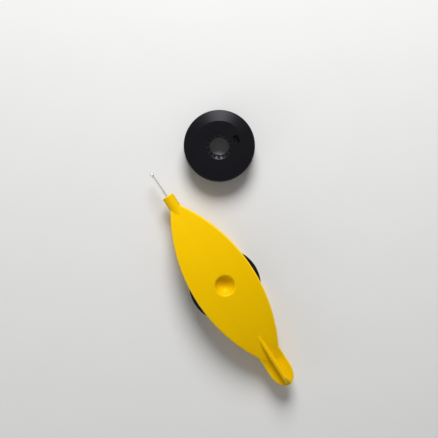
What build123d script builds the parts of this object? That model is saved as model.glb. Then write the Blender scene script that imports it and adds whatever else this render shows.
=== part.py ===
from build123d import *
import os
from math import hypot, sqrt

# A tatting shuttle: two bowed plastic blades that meet at both ends, with a thread bobbin turning on
# two hollow posts between them, a fine steel hook in the nose and a finned tail that winds a bobbin.
# A spare bobbin lies beside it on the same surface. Lengths are in millimetres and angles in degrees.
# +X runs along the shuttle to the hook, +Z is up, and the origin is on the surface, under the middle
# of the whole set. The pieces are drawn about the bobbin's axis and the shuttle's middle plane first.

# Blades: pointed ovals in plan, bowed along their length, one above the middle plane and one below
BLADE_LENGTH = 66.6  # from point to point, though both points are hidden inside the nose and the tail
BLADE_WIDTH = 21.6
BLADE_WALL = 1.4
BLADE_POINT_HEIGHT = 0.45  # of the outer face above the middle plane, at the points
BLADE_FORWARD = 0.25  # the oval's middle lies this far on the hook's side of the bobbin's axis
BLADE_POINT_CUT = 0.9  # length of each sharp point that is left off
BLADE_EDGE_ROUND = 0.5

# Posts: hollow domes on the blades' inner faces, with a thumb dimple outside each
POST_REACH = 2.3
POST_ROUND = 0.6
DIMPLE_MARGIN = 0.13  # by which the dimple's radius is larger than the post's
DIMPLE_DEPTH = 2.6
DIMPLE_RIM_ROUND = 0.8

# Bobbin: two halves, each a flange with half of the hub, joined by a spigot in a socket
BOBBIN_RADIUS = 12.0
BORE_RADIUS = 3.2
HUB_WALL = 1.9
HUB_ROUND = 0.3
WINDING_WIDTH = 4.6  # between the flanges
FLANGE_THICKNESS = 1.5
RIM_THICKNESS = 0.6
RIM_SLOPE_WIDTH = 3.75  # of the outer face's sloping band
RIM_ROUND_SHARE = 0.45  # of the rim's thickness
SPIGOT_WALL = 0.6
SPIGOT_LENGTH = 0.8

# Ring of notches around the bore's mouth, parted by teeth
RECESS_DEPTH = 0.5
RECESS_FLOOR_WIDTH = 0.55
RECESS_SLOPE_WIDTH = 1.0
TOOTH_COUNT = 15
TOOTH_INNER_WIDTH = 0.8
TOOTH_OUTER_WIDTH = 0.95
TOOTH_BELOW_FACE = 0.08
TOOTH_BORE_GAP = 0.2  # from the bore's edge to a tooth's inner end
TOOTH_OFFSET_ANGLE = 8.3  # from the thread window's middle

# Thread window through each flange beside the hub, and the channel that leads to it from the bore
WINDOW_LENGTH = 2.7  # across the radius
WINDOW_DEPTH = 1.65  # along the radius
WINDOW_HUB_GAP = 0.15
WINDOW_ROUND = 0.35
CHANNEL_WIDTH = 2.3
CHANNEL_DEPTH = 0.4
FITTED_WINDOW_ANGLE = 35.0

# Clearances
POST_CLEARANCE = 0.08  # around a post, in the bobbin's bore
FACE_CLEARANCE = 0.65  # between the bobbin's face and the blade's crown
JOINT_CLEARANCE = 0.03  # around pegs, spigots and the wire

# Nose: a round boss around the hook's wire, half on each blade
NOSE_RADIUS = 2.05
NOSE_BEYOND_BLADE = 1.95  # from the blade's point to the nose's end
NOSE_INNER_MARGIN = 2.0  # from the nose's peg to its inner end
NOSE_END_ROUND = 0.35

# Hook: a steel wire with a tapered throat and a small notched head
WIRE_RADIUS = 0.48
WIRE_ASIDE = 0.5  # the wire runs this far to +Y of the nose's axis
HOOK_REACH = 9.5  # from the nose's end to the tip
WIRE_EMBEDDED = 7.2
HEAD_RADIUS = 0.58
HEAD_BEYOND_WIDTH = 0.14  # by which the head is longer than it is wide
THROAT_RADIUS = 0.36
THROAT_LENGTH = 0.5
THROAT_TAPER_LENGTH = 6.4
NOTCH_DEPTH = 0.36
NOTCH_WIDTH = 0.5
NOTCH_TILT = 35.0
NOTCH_TURN = 40.0  # about the wire, from up towards -Y
CRIMP_LENGTH = 1.6
CRIMP_WIDTH = 1.5
CRIMP_THICKNESS = 0.5
CRIMP_FROM_END = 1.2  # from the wire's inner end to the crimp

# Tail: a flat paddle on the middle plane crossed by a fin, each with half an oval for an end
TAIL_BEYOND_BLADE = 6.95  # from the blade's point to the tail's tip
PADDLE_HALF_WIDTH = 3.9
PADDLE_THICKNESS = 2.2
PADDLE_ROUND = 0.45
PADDLE_END_LENGTH = 6.2
PADDLE_ROOT_SINK = 0.15  # how far below the gap's top the root starts
RAMP_SINK = 0.08  # of the paddle's rising top below the blade's outer face
RAMP_ROUND = 12.0  # where the rising top meets the flat
FIN_HEIGHT = 3.85  # above the middle plane
FIN_FOOT_WIDTH = 2.1
FIN_TOP_WIDTH = 1.3
FIN_ROUND = 0.6
FIN_END_LENGTH = 3.4
FIN_END_GAP = 0.5  # from the tail's tip to the fin's end
FIN_ROOT_SINK = 0.45  # how far the top of the fin's front lies inside the blade's wall

# Pegs that line up the two blades: two at the tail and one behind the hook's wire
PEG_RADIUS = 0.6
PEG_LENGTH = 1.1
PEG_TAIL_GAP = 4.6  # from the tail's tip to the first peg, and from there to the next
PEG_WIRE_GAP = 1.4  # from the wire's inner end to the nose's peg

# Spare bobbin, beside the shuttle
SPARE_AHEAD = 40.3
SPARE_ASIDE = 23.9
SPARE_WINDOW_ANGLE = -103.0

CUT_OVERRUN = 1.0

# Sizes that follow from those above
half_length = BLADE_LENGTH / 2
half_width = BLADE_WIDTH / 2
flange_inner = WINDING_WIDTH / 2
bobbin_half = flange_inner + FLANGE_THICKNESS
hub_radius = BORE_RADIUS + HUB_WALL
recess_floor_radius = BORE_RADIUS + RECESS_FLOOR_WIDTH
recess_mouth_radius = recess_floor_radius + RECESS_SLOPE_WIDTH
post_radius = BORE_RADIUS - POST_CLEARANCE
dimple_radius = post_radius + DIMPLE_MARGIN
inner_crown = bobbin_half + FACE_CLEARANCE
outer_crown = inner_crown + BLADE_WALL
bow = outer_crown - BLADE_POINT_HEIGHT
bow_radius = (half_length**2 + bow**2) / (2 * bow)
inner_bow_radius = bow_radius - BLADE_WALL
bow_axis_height = outer_crown - bow_radius
tail_reach = half_length - BLADE_FORWARD + TAIL_BEYOND_BLADE
nose_reach = half_length + BLADE_FORWARD + NOSE_BEYOND_BLADE
wire_end = nose_reach - WIRE_EMBEDDED
nose_peg = wire_end - PEG_WIRE_GAP
nose_start = nose_peg - NOSE_INNER_MARGIN
hook_tip = nose_reach + HOOK_REACH
head_length = 2 * HEAD_RADIUS + HEAD_BEYOND_WIDTH
low_x = -tail_reach
high_x = max(SPARE_AHEAD + BOBBIN_RADIUS, hook_tip)
low_y = -SPARE_ASIDE - BOBBIN_RADIUS
high_y = max(BOBBIN_RADIUS, half_width)
pivot_x = -(low_x + high_x) / 2
pivot_y = -(low_y + high_y) / 2


def upper_space(height):
    """A box that holds all that lies between the middle plane and a height."""
    length = 2 * (tail_reach + hook_tip)
    return extrude(Rectangle(length, length), height)


def bow_cylinder(radius):
    """A cylinder across the shuttle. Its top is a face of the upper blade."""
    disc = Pos(BLADE_FORWARD, bow_axis_height) * Circle(radius)
    return extrude(Plane.XZ * disc, BLADE_WIDTH, both=True)


def behind_crown(height, radius):
    """Where, on the tail's side, a bowed face of a given radius has fallen to a height."""
    return BLADE_FORWARD - sqrt(radius**2 - (height - bow_axis_height) ** 2)


def oval_plan():
    """The blade's outline: two arcs that would meet in sharp points, with the points left off."""
    left = ThreePointArc((-half_length, 0), (0, half_width), (half_length, 0))
    right = ThreePointArc((half_length, 0), (0, -half_width), (-half_length, 0))
    kept = Rectangle(BLADE_LENGTH - 2 * BLADE_POINT_CUT, BLADE_WIDTH + CUT_OVERRUN)
    return Pos(BLADE_FORWARD, 0) * (make_face([left, right]) & kept)


def blade():
    """One bowed blade with rounded outer edges. Its ends reach below the middle plane."""
    prism = extrude(oval_plan(), outer_crown + CUT_OVERRUN, both=True)
    wall = bow_cylinder(bow_radius) - bow_cylinder(inner_bow_radius)
    bowed = prism & wall
    outer_face = bowed.faces().sort_by(Axis.Z)[-1]
    return fillet(outer_face.edges(), BLADE_EDGE_ROUND)


def post():
    """The post's outside: a short cylinder with a rounded end, rooted in the blade's wall."""
    tip = inner_crown - POST_REACH
    root = inner_crown + BLADE_WALL / 2
    column = Pos(0, 0, tip) * extrude(Circle(post_radius), root - tip)
    return fillet(column.edges().sort_by(Axis.Z)[0], POST_ROUND)


def dimple_ball():
    """The ball that hollows the post from outside."""
    radius = (dimple_radius**2 + DIMPLE_DEPTH**2) / (2 * DIMPLE_DEPTH)
    return Pos(0, 0, outer_crown - DIMPLE_DEPTH + radius) * Sphere(radius)


def dimpled_blade():
    """A blade with its hollow post, and the dimple's rim rounded."""
    hollowed = (blade() + post()) - dimple_ball()
    rims = hollowed.edges().filter_by(lambda edge: is_dimple_rim(edge))
    return fillet(rims, DIMPLE_RIM_ROUND)


def is_dimple_rim(edge):
    """Whether an edge is the dimple's outer rim: it lies near the crown, at the dimple's radius."""
    middle = edge.position_at(0)
    near_crown = middle.Z > outer_crown - BLADE_WALL / 2
    return near_crown and hypot(middle.X, middle.Y) < dimple_radius + BLADE_WALL


def nose():
    """The upper half of the round boss, with rounded ends."""
    boss = Plane.YZ * Pos(0, 0, nose_start) * extrude(Circle(NOSE_RADIUS), nose_reach - nose_start)
    return fillet(boss.edges().filter_by(GeomType.CIRCLE), NOSE_END_ROUND) & upper_space(NOSE_RADIUS)


def tail_outline(tip, root, end_length, reach):
    """An outline from a tip to a root, with half an oval for its end and a reach each way."""
    start = tip + end_length
    end = EllipticalCenterArc((start, 0), end_length, reach, 90, arc_size=180)
    sides = Polyline((start, -reach), (root, -reach), (root, reach), (start, reach))
    return make_face([end, sides])


def paddle_profile(root):
    """The paddle seen from the side: flat, then rising in a curve to just below the blade's face."""
    flat = PADDLE_THICKNESS / 2
    radius = bow_radius - RAMP_SINK
    foot = behind_crown(flat, radius)
    top = bow_axis_height + sqrt(radius**2 - (root - BLADE_FORWARD) ** 2)
    middle = (foot + root) / 2
    middle_top = bow_axis_height + sqrt(radius**2 - (middle - BLADE_FORWARD) ** 2)
    rise = ThreePointArc((foot, flat), (middle, middle_top), (root, top))
    rest = Polyline((root, top), (root, 0), (-tail_reach, 0), (-tail_reach, flat), (foot, flat))
    profile = make_face([rise, rest])
    return fillet(profile.vertices().sort_by_distance((foot, flat))[0], RAMP_ROUND)


def paddle():
    """The upper half of the paddle."""
    root = behind_crown(PADDLE_THICKNESS / 2 - PADDLE_ROOT_SINK, inner_bow_radius)
    outline = tail_outline(-tail_reach, root, PADDLE_END_LENGTH, PADDLE_HALF_WIDTH)
    slab = extrude(Plane.XZ * paddle_profile(root), PADDLE_HALF_WIDTH + CUT_OVERRUN, both=True)
    plate = extrude(outline, outer_crown) & slab
    return fillet([edge for edge in plate.edges() if is_paddle_top_edge(edge, root)], PADDLE_ROUND)


def is_paddle_top_edge(edge, root):
    """Whether an edge runs along the outline of the paddle's upper face."""
    middle = edge.position_at(0.5)
    above = middle.Z > PADDLE_THICKNESS / 2 - PADDLE_ROUND / 2
    upright = abs(edge.tangent_at(0.5).Z) > 0.9
    inside = abs(middle.Y) < PADDLE_HALF_WIDTH / 4 and middle.X > -tail_reach + PADDLE_ROUND
    return above and not upright and not inside and middle.X < root - PADDLE_ROUND


def fin():
    """The fin above the middle plane. It comes out of the blade's wall and keeps clear of the gap."""
    front = behind_crown(FIN_HEIGHT + FIN_ROOT_SINK, bow_radius)
    outline = tail_outline(FIN_END_GAP - tail_reach, front, FIN_END_LENGTH, FIN_HEIGHT)
    plate = extrude(Plane.XZ * outline, FIN_FOOT_WIDTH, both=True)
    section = make_face(
        Polyline(
            (-FIN_FOOT_WIDTH / 2, 0),
            (FIN_FOOT_WIDTH / 2, 0),
            (FIN_TOP_WIDTH / 2, FIN_HEIGHT),
            (-FIN_TOP_WIDTH / 2, FIN_HEIGHT),
            close=True,
        )
    )
    drafted = Plane.YZ * Pos(0, 0, -tail_reach) * extrude(section, front + tail_reach)
    ridge = plate & drafted
    long_edges = [edge for edge in ridge.edges() if not is_fin_end_edge(edge, front)]
    return fillet(long_edges, FIN_ROUND) - bow_cylinder(inner_bow_radius)


def is_fin_end_edge(edge, front):
    """Whether an edge of the fin lies on the middle plane, across the fin or at its hidden front."""
    middle = edge.position_at(0.5)
    across = abs(middle.Y) < FIN_ROUND / 2
    return across or middle.Z < FIN_ROUND / 2 or middle.X > front - FIN_ROUND


def crimp(clearance):
    """The flat that keeps the wire from turning or pulling out."""
    middle = wire_end + CRIMP_FROM_END + CRIMP_LENGTH / 2
    flat = Box(
        CRIMP_LENGTH + 2 * clearance,
        CRIMP_WIDTH + 2 * clearance,
        CRIMP_THICKNESS + 2 * clearance,
    )
    return Pos(middle, WIRE_ASIDE, 0) * flat


def wire_space():
    """The room for the wire and its crimp inside the nose."""
    start = wire_end - JOINT_CLEARANCE
    bore = extrude(Circle(WIRE_RADIUS + JOINT_CLEARANCE), HOOK_REACH + WIRE_EMBEDDED)
    return Plane.YZ * Pos(WIRE_ASIDE, 0, start) * bore + crimp(JOINT_CLEARANCE)


def pegs(radius, length):
    """The pegs, or their sockets, from the middle plane down."""
    first = -tail_reach + PEG_TAIL_GAP
    places = [first, first + PEG_TAIL_GAP, nose_peg]
    return [Pos(x, 0, 0) * extrude(Circle(radius), -length) for x in places]


def shell_half():
    """One blade with its post, half a nose, half a paddle and its fin, above the middle plane."""
    half = dimpled_blade() + fin() + paddle() + nose()
    half &= upper_space(outer_crown)
    return half - wire_space()


def upper_shell():
    """The upper half, which carries the pegs."""
    half = shell_half()
    for peg in pegs(PEG_RADIUS, PEG_LENGTH):
        half += peg
    return half


def lower_shell():
    """The lower half, with a socket for each peg."""
    half = mirror(shell_half(), Plane.XY)
    for socket in pegs(PEG_RADIUS + JOINT_CLEARANCE, PEG_LENGTH + JOINT_CLEARANCE):
        half -= socket
    return half


def hook():
    """The steel wire: a round shank with its crimp, a tapered throat and a notched, rounded head."""
    throat_end = hook_tip - head_length
    throat_start = throat_end - THROAT_LENGTH
    taper_start = throat_start - THROAT_TAPER_LENGTH
    head_start = Line((throat_end, THROAT_RADIUS), (hook_tip - head_length / 2, HEAD_RADIUS))
    section = [
        Polyline(
            (hook_tip, 0),
            (wire_end, 0),
            (wire_end, WIRE_RADIUS),
            (taper_start, WIRE_RADIUS),
            (throat_start, THROAT_RADIUS),
            (throat_end, THROAT_RADIUS),
        ),
        head_start,
        EllipticalCenterArc((hook_tip - head_length / 2, 0), head_length / 2, HEAD_RADIUS, 0, arc_size=90),
    ]
    shank = revolve(make_face(section), Axis.X)
    cutter = Box(NOTCH_WIDTH, 2 * HEAD_RADIUS + CUT_OVERRUN, 2 * HEAD_RADIUS)
    depth = THROAT_RADIUS - NOTCH_DEPTH + HEAD_RADIUS
    notch = Rot(NOTCH_TURN, 0, 0) * Pos(throat_end, 0, depth) * Rot(0, NOTCH_TILT, 0) * cutter
    return Pos(0, WIRE_ASIDE, 0) * (shank - notch) + crimp(0)


def bobbin_profile(spigot):
    """The section of a bobbin half through its axis, with a spigot or a socket on the hub's end."""
    recess_floor = bobbin_half - RECESS_DEPTH
    section = make_face(
        Polyline(
            (BORE_RADIUS, 0),
            (BORE_RADIUS, recess_floor),
            (recess_floor_radius, recess_floor),
            (recess_mouth_radius, bobbin_half),
            (BOBBIN_RADIUS - RIM_SLOPE_WIDTH, bobbin_half),
            (BOBBIN_RADIUS, flange_inner + RIM_THICKNESS),
            (BOBBIN_RADIUS, flange_inner),
            (hub_radius, flange_inner),
            (hub_radius, 0),
            close=True,
        )
    )
    section = fillet(section.vertices().group_by(Axis.X)[-1], RIM_ROUND_SHARE * RIM_THICKNESS)
    root = section.vertices().sort_by_distance((hub_radius, flange_inner))[0]
    section = fillet(root, HUB_ROUND)
    gap = 0 if spigot else JOINT_CLEARANCE
    width = SPIGOT_WALL + 2 * gap
    length = SPIGOT_LENGTH + gap
    middle = BORE_RADIUS + HUB_WALL / 2
    if spigot:
        return section + Pos(middle, -length / 2) * Rectangle(width, length)
    return section - Pos(middle, length / 2) * Rectangle(width, length)


def teeth():
    """The teeth that part the notches around the bore's mouth."""
    inner = BORE_RADIUS + TOOTH_BORE_GAP
    plan = make_face(
        Polyline(
            (inner, -TOOTH_INNER_WIDTH / 2),
            (recess_mouth_radius, -TOOTH_OUTER_WIDTH / 2),
            (recess_mouth_radius, TOOTH_OUTER_WIDTH / 2),
            (inner, TOOTH_INNER_WIDTH / 2),
            close=True,
        )
    )
    root = bobbin_half - RECESS_DEPTH - TOOTH_BELOW_FACE
    tooth = Pos(0, 0, root) * extrude(plan, RECESS_DEPTH)
    step = 360 / TOOTH_COUNT
    return [Rot(0, 0, TOOTH_OFFSET_ANGLE + step * place) * tooth for place in range(TOOTH_COUNT)]


def thread_window():
    """The window through a flange, and its channel from the notches."""
    middle = hub_radius + WINDOW_HUB_GAP + WINDOW_DEPTH / 2
    bottom = flange_inner - CUT_OVERRUN
    plan = RectangleRounded(WINDOW_DEPTH, WINDOW_LENGTH, WINDOW_ROUND)
    window = Pos(middle, 0, bottom) * extrude(plan, bobbin_half)
    start = (recess_mouth_radius + recess_floor_radius) / 2
    channel = Box(middle - start, CHANNEL_WIDTH, 2 * CHANNEL_DEPTH)
    return window + Pos((start + middle) / 2, 0, bobbin_half) * channel


def bobbin_upper_half(spigot=True):
    """A flange with half of the hub. Its window points along +X."""
    half = revolve(Plane.XZ * bobbin_profile(spigot), Axis.Z)
    for tooth in teeth():
        half += tooth
    return half - thread_window()


def bobbin_lower_half():
    """The other half, with the socket that takes the spigot."""
    return mirror(bobbin_upper_half(spigot=False), Plane.XY)


def export(name, shape):
    """Writes one sub-part."""
    export_step(shape, os.path.join("parts", name + ".step"))


def main():
    """Places and writes every sub-part."""
    os.makedirs("parts", exist_ok=True)
    shuttle = Pos(pivot_x, pivot_y, outer_crown)
    fitted = shuttle * Rot(0, 0, FITTED_WINDOW_ANGLE)
    beside = Pos(pivot_x + SPARE_AHEAD, pivot_y - SPARE_ASIDE, bobbin_half)
    spare = beside * Rot(0, 0, SPARE_WINDOW_ANGLE)
    upper_half = bobbin_upper_half()
    lower_half = bobbin_lower_half()
    export("upper_shell", shuttle * upper_shell())
    export("lower_shell", shuttle * lower_shell())
    export("hook", shuttle * hook())
    export("bobbin_upper_half", fitted * upper_half)
    export("bobbin_lower_half", fitted * lower_half)
    export("spare_bobbin_upper_half", spare * upper_half)
    export("spare_bobbin_lower_half", spare * lower_half)


main()
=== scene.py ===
"""Looks of a tatting shuttle, its fitted bobbin and a spare one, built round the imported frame.

+X runs along the shuttle to its hook and +Z is up. Every piece is drawn in millimetres about its own
middle, then brought to metres and to its place in the shared frame.
"""

from __future__ import annotations

import logging
from collections.abc import Callable, Iterator, Sequence
from contextlib import contextmanager
from dataclasses import dataclass, field
from enum import Enum
from math import acos, atan2, cos, hypot, pi, radians, sin, sqrt

import bmesh
import bpy
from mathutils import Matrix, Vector

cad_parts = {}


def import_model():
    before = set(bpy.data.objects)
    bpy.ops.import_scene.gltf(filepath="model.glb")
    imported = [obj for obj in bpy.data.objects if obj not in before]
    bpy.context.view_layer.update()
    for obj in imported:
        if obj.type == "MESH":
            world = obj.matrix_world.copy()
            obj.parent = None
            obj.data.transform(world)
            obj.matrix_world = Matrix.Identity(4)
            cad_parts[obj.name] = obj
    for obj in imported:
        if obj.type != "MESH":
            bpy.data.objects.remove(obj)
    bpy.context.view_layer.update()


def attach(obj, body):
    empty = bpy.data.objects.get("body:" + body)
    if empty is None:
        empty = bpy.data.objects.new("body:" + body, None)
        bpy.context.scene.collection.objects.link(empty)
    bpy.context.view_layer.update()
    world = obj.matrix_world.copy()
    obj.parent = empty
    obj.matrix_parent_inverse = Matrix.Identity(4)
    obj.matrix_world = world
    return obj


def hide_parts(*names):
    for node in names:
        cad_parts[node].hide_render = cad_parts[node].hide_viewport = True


log = logging.getLogger("shuttle_scene")

MM = 0.001
TINY = 1e-4  # millimetres within which two places are the same
NEAR = 0.002  # millimetres by which a place may differ from one that is worked out again
OVERRUN = 1.0  # millimetres by which a cutter passes what it cuts
# attribute on rounded edges, where the materials lay a painted highlight
HIGHLIT_EDGE = "rounded_edge"
SHEET_COLUMNS = 6
SHEET_COLUMN_WIDTH = 220
SHEET_ROW_HEIGHT = 320

Piece = bpy.types.Object
Point = tuple[float, float, float]
FlatPoint = tuple[float, float]

SHUTTLE_MIDDLE: Point = (-6.15 * MM, 11.95 * MM, 5.85 * MM)
SPARE_MIDDLE: Point = (34.15 * MM, -11.95 * MM, 3.8 * MM)


# Choices


class Kind(Enum):
    """What is selected in edit mode."""

    POINTS = "VERT"
    EDGES = "EDGE"
    FACES = "FACE"


class Cut(Enum):
    """How one solid acts on another."""

    ADD = "UNION"
    REMOVE = "DIFFERENCE"
    SHARE = "INTERSECT"


class Line(Enum):
    """How a drawn line ends."""

    OPEN = "open"
    RING = "ring"
    FACE = "face"


class Side(Enum):
    """Which half of a pair a piece is, with the sign of its height above the middle."""

    UPPER = 1
    LOWER = -1


# Bench: the modelling steps that all pieces share


def clear_selection() -> None:
    """Deselects every object, the frame's nodes among them."""
    bpy.ops.object.select_all(action="DESELECT")


def only(piece: Piece) -> None:
    """Selects one piece and makes it active."""
    clear_selection()
    piece.select_set(True)
    bpy.context.view_layer.objects.active = piece


def fresh(name: str) -> Piece:
    """Names the primitive that was just added, and puts its place into its mesh.

    Args:
        name: The piece's name.

    Returns:
        The piece.
    """
    piece = bpy.context.object
    piece.name = name
    piece.data.name = name
    bpy.ops.object.transform_apply(location=True, rotation=True, scale=True)
    return piece


def discard(piece: Piece) -> None:
    """Deletes a piece that was only a tool."""
    only(piece)
    bpy.ops.object.delete()


@contextmanager
def editing(piece: Piece, kind: Kind = Kind.FACES) -> Iterator[None]:
    """Holds a piece in edit mode with all of it selected.

    Args:
        piece: The piece to edit.
        kind: What the selection is made of.
    """
    only(piece)
    bpy.ops.object.mode_set(mode="EDIT")
    bpy.ops.mesh.select_mode(type=kind.value)
    bpy.ops.mesh.select_all(action="SELECT")
    try:
        yield
    finally:
        bpy.ops.object.mode_set(mode="OBJECT")


def pick(piece: Piece, kind: Kind, wanted: Callable[..., bool]) -> None:
    """Selects, in edit mode, the points, edges or faces that pass a test.

    Args:
        piece: The piece in edit mode.
        kind: What to select.
        wanted: The test, given a point, an edge or a face.
    """
    bpy.ops.mesh.select_mode(type=kind.value)
    bpy.ops.mesh.select_all(action="DESELECT")
    shape = bmesh.from_edit_mesh(piece.data)
    rows = {Kind.POINTS: shape.verts, Kind.EDGES: shape.edges, Kind.FACES: shape.faces}[kind]
    for part in [part for part in rows if wanted(part)]:
        part.select_set(True)
    shape.select_flush_mode()
    bmesh.update_edit_mesh(piece.data, loop_triangles=False, destructive=False)


def close_up() -> None:
    """Merges doubled points and turns the faces outwards, in edit mode."""
    bpy.ops.mesh.select_all(action="SELECT")
    bpy.ops.mesh.remove_doubles(threshold=TINY)
    bpy.ops.mesh.normals_make_consistent(inside=False)


def drawn(name: str, points: Sequence[Point], ending: Line) -> Piece:
    """Draws a line through points, by extruding one point from place to place.

    Args:
        name: The piece's name.
        points: The points, in order.
        ending: Whether the line stays open, closes, or closes and is filled.

    Returns:
        The drawn line or face.
    """
    clear_selection()
    bpy.ops.mesh.primitive_plane_add(size=1, location=points[0])
    piece = fresh(name)
    stops = [*points, points[0]] if ending is Line.RING else list(points)
    with editing(piece, Kind.POINTS):
        bpy.ops.mesh.merge(type="CENTER")
        for before, after in zip(stops, stops[1:]):
            step = Vector(after) - Vector(before)
            bpy.ops.mesh.extrude_region_move(TRANSFORM_OT_translate={"value": step})
        bpy.ops.mesh.select_all(action="SELECT")
        if ending is Line.RING:
            bpy.ops.mesh.remove_doubles(threshold=TINY)
        if ending is Line.FACE:
            bpy.ops.mesh.edge_face_add()
    return piece


def box(name: str, size: Point, middle: Point = (0.0, 0.0, 0.0)) -> Piece:
    """Adds a box.

    Args:
        name: The piece's name.
        size: Its three sizes.
        middle: Its middle.

    Returns:
        The box.
    """
    clear_selection()
    bpy.ops.mesh.primitive_cube_add(size=1, location=middle, scale=size)
    return fresh(name)


def turned(
    name: str, line: Sequence[FlatPoint], axis: Point, steps: int, ending: Line = Line.OPEN
) -> Piece:
    """Draws a line in the plane of X and Z and turns it about an axis through the origin.

    Args:
        name: The piece's name.
        line: The line's points.
        axis: The direction of the axis.
        steps: Number of steps in the whole turn.
        ending: Whether the line stays open or closes.

    Returns:
        The closed body.
    """
    piece = drawn(name, [(along, 0.0, height) for along, height in line], ending)
    with editing(piece, Kind.EDGES):
        bpy.ops.mesh.spin(steps=steps, angle=2 * pi, center=(0, 0, 0), axis=axis)
        close_up()
    return piece


def thicken(piece: Piece, step: Point) -> Piece:
    """Extrudes a filled outline into a plate.

    Args:
        piece: The outline, one face.
        step: How far and which way it is extruded.

    Returns:
        The same piece, as a closed body.
    """
    with editing(piece, Kind.FACES):
        bpy.ops.mesh.extrude_region_move(TRANSFORM_OT_translate={"value": step})
        close_up()
    return piece


def combine(piece: Piece, tool: Piece, how: Cut) -> None:
    """Adds one solid to another, cuts it out or keeps what they share, and deletes the tool.

    Args:
        piece: The solid that stays.
        tool: The solid that acts on it.
        how: Which of the three.
    """
    only(piece)
    bpy.ops.object.modifier_add(type="BOOLEAN")
    modifier = piece.modifiers[-1]
    modifier.operation = how.value
    modifier.solver = "EXACT"
    modifier.object = tool
    bpy.ops.object.modifier_apply(modifier=modifier.name)
    discard(tool)


def cut_below(height: float) -> None:
    """Cuts away what lies below a height and closes the cut, in edit mode."""
    bpy.ops.mesh.bisect(
        plane_co=(0, 0, height), plane_no=(0, 0, 1), use_fill=True, clear_inner=True, threshold=TINY
    )


def soften(width: float, segments: int) -> None:
    """Rounds the selected edges, in edit mode."""
    bpy.ops.mesh.bevel(
        offset=width,
        offset_type="OFFSET",
        segments=segments,
        profile=0.5,
        affect="EDGES",
        clamp_overlap=False,
    )


def copied(piece: Piece, name: str) -> Piece:
    """Copies a piece with a mesh of its own.

    Args:
        piece: The piece to copy.
        name: The copy's name.

    Returns:
        The copy.
    """
    only(piece)
    bpy.ops.object.duplicate(linked=False)
    twin = bpy.context.object
    twin.name = name
    twin.data.name = name
    return twin


def shift(piece: Piece, step: Point) -> None:
    """Moves all of a piece's mesh."""
    with editing(piece, Kind.POINTS):
        bpy.ops.transform.translate(value=step)


def turn_over(piece: Piece) -> None:
    """Mirrors a piece in the plane at height zero."""
    with editing(piece, Kind.POINTS):
        bpy.ops.transform.resize(value=(1, 1, -1), center_override=(0, 0, 0))
        close_up()


def settle(piece: Piece, turn: float, place: Point) -> None:
    """Brings a piece from millimetres to metres, turned and in its place, all in its mesh.

    Args:
        piece: The piece, drawn about its own middle.
        turn: Degrees about the upright axis.
        place: The middle's place in the shared frame, in metres.
    """
    only(piece)
    piece.scale = (MM, MM, MM)
    piece.rotation_euler = (0, 0, radians(turn))
    piece.location = place
    bpy.ops.object.transform_apply(location=True, rotation=True, scale=True)


def smooth(piece: Piece, crease: float) -> None:
    """Shades a piece smooth up to an angle, with broad faces ruling the normals.

    Args:
        piece: The piece.
        crease: Degrees above which an edge stays sharp.
    """
    only(piece)
    bpy.ops.object.shade_smooth_by_angle(angle=radians(crease))
    bpy.ops.object.modifier_add(type="WEIGHTED_NORMAL")
    modifier = piece.modifiers[-1]
    modifier.keep_sharp = True
    bpy.ops.object.modifier_apply(modifier=modifier.name)


def mark_rounded_edges(piece: Piece, least_turn: float, largest_face: float) -> None:
    """Writes an attribute that is 1 on outer edges, where a painted highlight brightens the finish.

    Args:
        piece: The piece, in millimetres.
        least_turn: Degrees between two faces from which an outer edge counts.
        largest_face: Area above which a face is no part of a rounded edge, so its points stay at 0.
    """
    shape = bmesh.new()
    shape.from_mesh(piece.data)
    shape.verts.ensure_lookup_table()
    worn = [0.0] * len(shape.verts)
    for edge in shape.edges:
        turn = edge.calc_face_angle_signed(0.0)
        if turn > radians(least_turn):
            for point in edge.verts:
                if all(face.calc_area() < largest_face for face in point.link_faces):
                    worn[point.index] = 1.0
    shape.free()
    attribute = piece.data.attributes.new(HIGHLIT_EDGE, "FLOAT", "POINT")
    attribute.data.foreach_set("value", worn)


def arc(middle: FlatPoint, radius: float, start: float, end: float, steps: int) -> list[FlatPoint]:
    """Points on an arc, both ends included.

    Args:
        middle: The arc's middle.
        radius: Its radius.
        start: Angle of the first point, in degrees.
        end: Angle of the last point, in degrees.
        steps: Number of steps between them.

    Returns:
        The points.
    """
    angles = [radians(start + (end - start) * step / steps) for step in range(steps + 1)]
    return [(middle[0] + radius * cos(angle), middle[1] + radius * sin(angle)) for angle in angles]


def rounded(corners: Sequence[tuple[float, float, float]], steps: int) -> list[FlatPoint]:
    """Rounds the corners of a closed outline.

    Args:
        corners: Each corner's two coordinates and its radius, 0 where it stays sharp.
        steps: Number of steps in each round.

    Returns:
        The outline's points.
    """
    outline: list[FlatPoint] = []
    count = len(corners)
    for place, (first, second, radius) in enumerate(corners):
        corner = Vector((first, second))
        if not radius:
            outline.append((first, second))
            continue
        back = (Vector(corners[place - 1][:2]) - corner).normalized()
        ahead = (Vector(corners[(place + 1) % count][:2]) - corner).normalized()
        half = acos(max(-1.0, min(1.0, back.dot(ahead)))) / 2
        middle = corner + (back + ahead).normalized() * radius / sin(half)
        begin = corner + back * radius / (sin(half) / cos(half)) - middle
        finish = corner + ahead * radius / (sin(half) / cos(half)) - middle
        start = atan2(begin.y, begin.x)
        sweep = (atan2(finish.y, finish.x) - start + pi) % (2 * pi) - pi
        for step in range(steps + 1):
            angle = start + sweep * step / steps
            outline.append((middle.x + radius * cos(angle), middle.y + radius * sin(angle)))
    return outline


# Finishes: the node groups that several materials share, and the materials


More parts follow.
